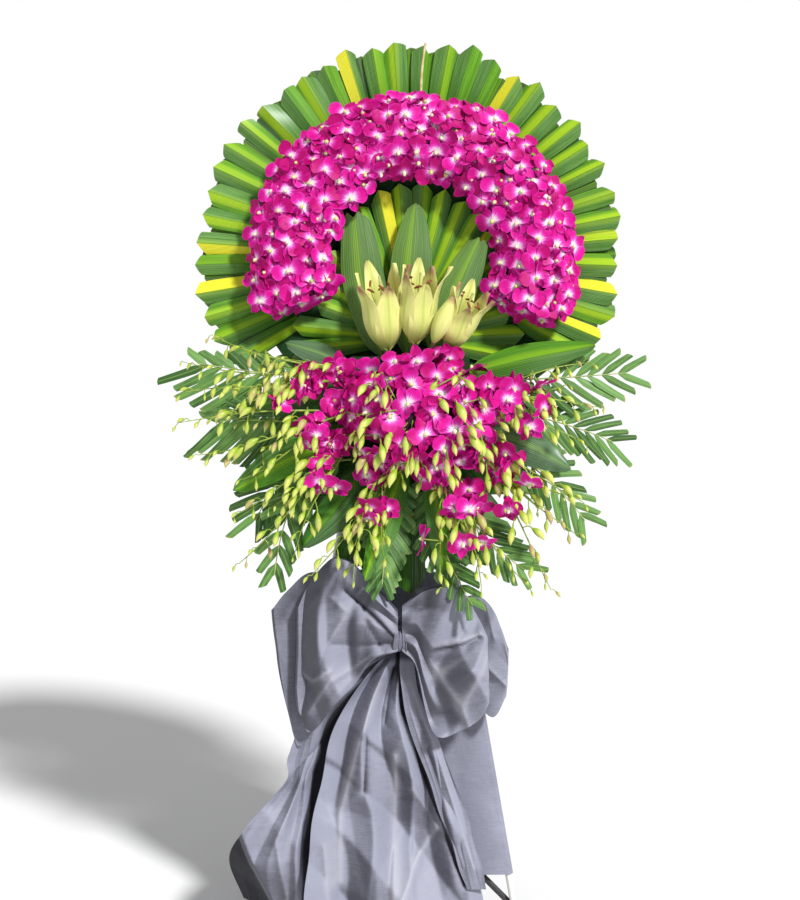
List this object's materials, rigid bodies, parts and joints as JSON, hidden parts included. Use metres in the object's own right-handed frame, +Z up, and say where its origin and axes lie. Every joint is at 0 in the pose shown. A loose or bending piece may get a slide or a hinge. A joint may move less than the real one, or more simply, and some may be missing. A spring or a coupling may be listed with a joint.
{
  "type": "funeral wreath",
  "caption": "Standing funeral wreath: leaf fan and orchid arch over lilies, orchids, bud sprays and fronds, with a dark bow and skirt on a leaning three-legged stand.",
  "frame": {"origin": "on the floor, under the middle of the object's bounding box", "axes": "+Z up, -Y towards the viewer of the wreath's face, +X to the viewer's right"},
  "size_m": [0.9378, 0.6666, 1.7143],
  "materials": {
    "bow_knot": "matte",
    "bow_loop_back_left": "matte",
    "bow_loop_back_right": "matte",
    "bow_loop_front_left": "matte",
    "bow_loop_front_right": "matte",
    "bow_tail_centre": "matte",
    "bow_tail_left": "matte",
    "bow_tail_right": "matte",
    "brace": "satin",
    "broad_leaf_bottom_left": "satin",
    "broad_leaf_bottom_mid": "satin",
    "broad_leaf_bottom_right": "satin",
    "broad_leaf_left_high": "satin",
    "broad_leaf_left_low": "satin",
    "broad_leaf_left_mid": "satin",
    "broad_leaf_right_high": "satin",
    "broad_leaf_right_mid": "satin",
    "centre_leaf_left": "satin",
    "centre_leaf_middle": "satin",
    "centre_leaf_right": "satin",
    "crossbar_lower": "satin",
    "crossbar_upper": "satin",
    "fan_leaves": "satin",
    "foam_arch": "matte",
    "foam_block": "matte",
    "foam_disc": "matte",
    "frond_bottom_left": "satin",
    "frond_bottom_mid": "satin",
    "frond_bottom_right": "satin",
    "frond_left_high": "satin",
    "frond_left_low": "satin",
    "frond_left_mid": "satin",
    "frond_right_high": "satin",
    "frond_right_level": "satin",
    "frond_right_low": "satin",
    "frond_right_mid": "satin",
    "inner_fan": "satin",
    "leg_back": "satin",
    "leg_front_left": "satin",
    "leg_front_right": "satin",
    "lily_bud": "satin",
    "lily_left": "satin",
    "lily_middle": "satin",
    "lily_right": "satin",
    "orchid_arch_1": "satin",
    "orchid_arch_2": "satin",
    "orchid_arch_3": "satin",
    "orchid_arch_4": "satin",
    "orchid_arch_5": "satin",
    "orchid_mound": "satin",
    "skirt": "matte",
    "spray_bottom": "satin",
    "spray_bottom_right": "satin",
    "spray_left": "satin",
    "spray_left_high": "satin",
    "spray_left_low": "satin",
    "spray_right": "satin",
    "spray_right_low": "satin",
    "strut": "satin"
  },
  "bodies": {
    "root": {"bow_knot": "bow_knot", "bow_loop_back_left": "bow_loop_back_left", "bow_loop_back_right": "bow_loop_back_right", "bow_loop_front_left": "bow_loop_front_left", "bow_loop_front_right": "bow_loop_front_right", "bow_tail_centre": "bow_tail_centre", "bow_tail_left": "bow_tail_left", "bow_tail_right": "bow_tail_right", "brace": "brace", "broad_leaf_bottom_left": "broad_leaf_bottom_left", "broad_leaf_bottom_mid": "broad_leaf_bottom_mid", "broad_leaf_bottom_right": "broad_leaf_bottom_right", "broad_leaf_left_high": "broad_leaf_left_high", "broad_leaf_left_low": "broad_leaf_left_low", "broad_leaf_left_mid": "broad_leaf_left_mid", "broad_leaf_right_high": "broad_leaf_right_high", "broad_leaf_right_mid": "broad_leaf_right_mid", "centre_leaf_left": "centre_leaf_left", "centre_leaf_middle": "centre_leaf_middle", "centre_leaf_right": "centre_leaf_right", "crossbar_lower": "crossbar_lower", "crossbar_upper": "crossbar_upper", "fan_leaves": "fan_leaves", "foam_arch": "foam_arch", "foam_block": "foam_block", "foam_disc": "foam_disc", "frond_bottom_left": "frond_bottom_left", "frond_bottom_mid": "frond_bottom_mid", "frond_bottom_right": "frond_bottom_right", "frond_left_high": "frond_left_high", "frond_left_low": "frond_left_low", "frond_left_mid": "frond_left_mid", "frond_right_high": "frond_right_high", "frond_right_level": "frond_right_level", "frond_right_low": "frond_right_low", "frond_right_mid": "frond_right_mid", "inner_fan": "inner_fan", "leg_back": "leg_back", "leg_front_left": "leg_front_left", "leg_front_right": "leg_front_right", "lily_bud": "lily_bud", "lily_left": "lily_left", "lily_middle": "lily_middle", "lily_right": "lily_right", "orchid_arch_1": "orchid_arch_1", "orchid_arch_2": "orchid_arch_2", "orchid_arch_3": "orchid_arch_3", "orchid_arch_4": "orchid_arch_4", "orchid_arch_5": "orchid_arch_5", "orchid_mound": "orchid_mound", "skirt": "skirt", "spray_bottom": "spray_bottom", "spray_bottom_right": "spray_bottom_right", "spray_left": "spray_left", "spray_left_high": "spray_left_high", "spray_left_low": "spray_left_low", "spray_right": "spray_right", "spray_right_low": "spray_right_low", "strut": "strut"}
  },
  "joints": []
}
